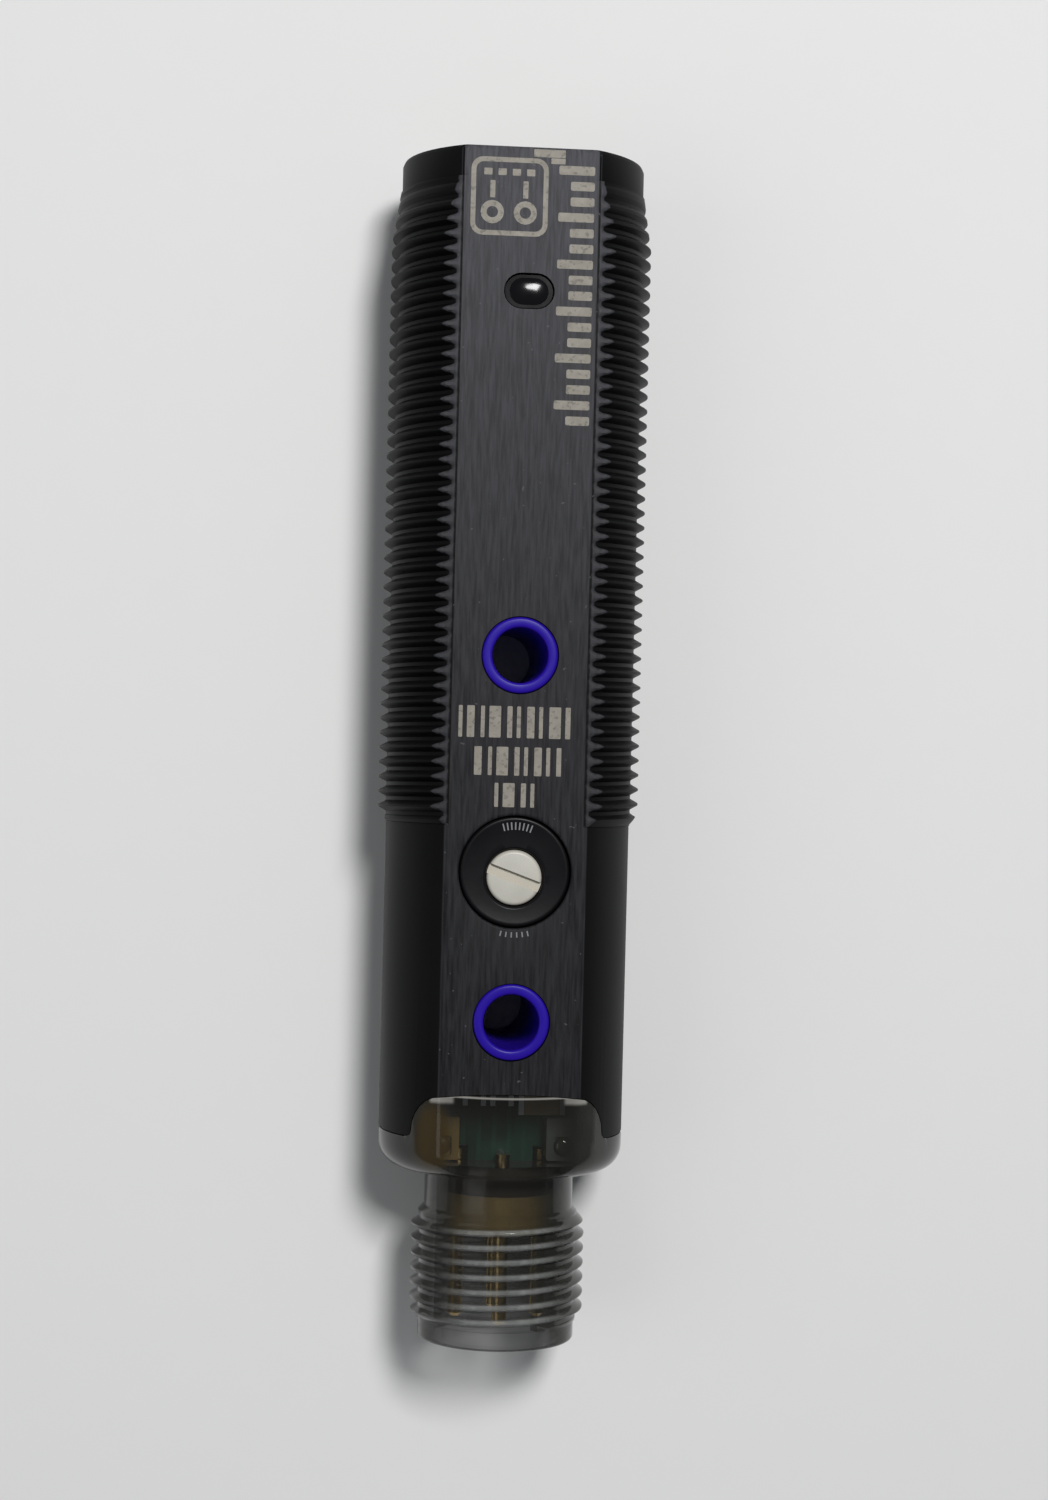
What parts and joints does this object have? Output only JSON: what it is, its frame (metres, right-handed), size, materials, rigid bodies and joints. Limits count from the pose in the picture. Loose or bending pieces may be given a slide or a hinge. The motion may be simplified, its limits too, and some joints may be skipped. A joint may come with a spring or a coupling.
{
  "type": "photoelectric sensor",
  "caption": "Tubular photoelectric sensor: flatted M18 threaded barrel with cross mounting sleeves, a slotted sensitivity trimmer and a clear tail with an M12 plug.",
  "frame": {"origin": "middle of the footprint on the plane of the back flat", "axes": "+Y along the barrel towards the lens, +Z out of the flat with the trimmer, +X to the right when the lens points away"},
  "size_m": [0.0178, 0.0804, 0.014],
  "materials": {
    "black_plastic": "moulded black plastic with a fine grain",
    "red_filter": "dark red filter plastic",
    "gloss_black": "glossy black",
    "film": "grey polarising film",
    "red_epoxy": "tinted clear epoxy",
    "dark_epoxy": "dark filter epoxy",
    "tinned": "tinned",
    "board_green": "green solder mask",
    "chip_black": "moulded black",
    "ceramic_tan": "ceramic",
    "tantalum_yellow": "moulded yellow",
    "trimmer_blue": "moulded blue",
    "gold": "gold plated",
    "white_plastic": "off-white",
    "black_rubber": "smooth black",
    "blue_plastic": "violet blue",
    "led_amber": "amber",
    "led_green": "pale green",
    "clear_plastic": "clear plastic with a smoky tint",
    "resin_brown": "dark resin",
    "amber_plastic": "amber translucent"
  },
  "bodies": {
    "sensor": {"housing": "black_plastic", "lens_plate": "red_filter", "optic_carrier": "gloss_black", "emitter_polariser": "film", "receiver_polariser": "film", "emitter_led": "red_epoxy", "emitter_leads": "tinned", "photodiode": "dark_epoxy", "photodiode_leads": "tinned", "circuit_board": "board_green", "receiver_shield": "tinned", "signal_chip": "chip_black", "signal_chip_leads": "tinned", "regulator": "chip_black", "regulator_leads": "tinned", "output_transistors": "chip_black", "transistor_leads": "tinned", "chip_resistors": "chip_black", "chip_capacitors": "ceramic_tan", "chip_terminals": "tinned", "tantalum_capacitor": "tantalum_yellow", "surge_diode": "chip_black", "trimmer_base": "trimmer_blue", "trimmer_terminals": "tinned", "trimmer_seal": "black_rubber", "sleeve_front": "blue_plastic", "sleeve_rear": "blue_plastic", "sleeve_seals_front": "black_rubber", "sleeve_seals_rear": "black_rubber", "status_led_yellow": "led_amber", "status_led_green": "led_green", "tail_cap": "clear_plastic", "neck_resin": "resin_brown", "contact_carrier": "amber_plastic", "contact_pin_1": "gold", "contact_pin_2": "gold", "contact_pin_3": "gold", "contact_pin_4": "gold", "contact_links": "tinned"},
    "trimmer": {"trimmer_rotor": "white_plastic", "trimmer_wiper": "gold"}
  },
  "joints": [
    {"name": "trimmer_turn", "type": "hinge", "parent": "sensor", "child": "trimmer", "pos_m": [0, -0.00835, 0.007], "axis": [0, 0, 1], "range_deg": [-135, 135]}
  ]
}
